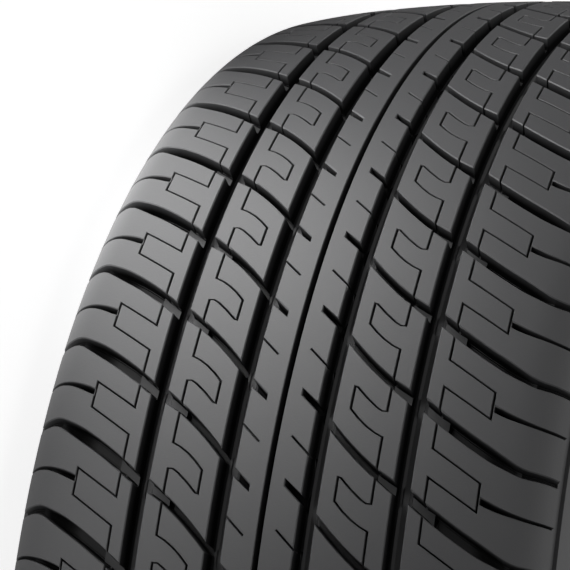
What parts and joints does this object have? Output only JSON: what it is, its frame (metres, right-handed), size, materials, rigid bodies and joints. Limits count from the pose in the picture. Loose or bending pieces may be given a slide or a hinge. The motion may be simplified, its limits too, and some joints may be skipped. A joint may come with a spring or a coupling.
{
  "type": "car tyre",
  "caption": "Tubeless passenger car tyre with main grooves, cross grooves and notched centre ribs, lying on its sidewall.",
  "frame": {"origin": "centre of the tyre: on the axle line, midway between the two sidewalls", "axes": "+Z along the axle line, up as the tyre lies on its sidewall"},
  "size_m": [0.6319, 0.632, 0.215],
  "materials": {
    "tyre": "moulded black rubber, satin, with a fine grain"
  },
  "bodies": {
    "root": {"tyre": "tyre"}
  },
  "joints": []
}
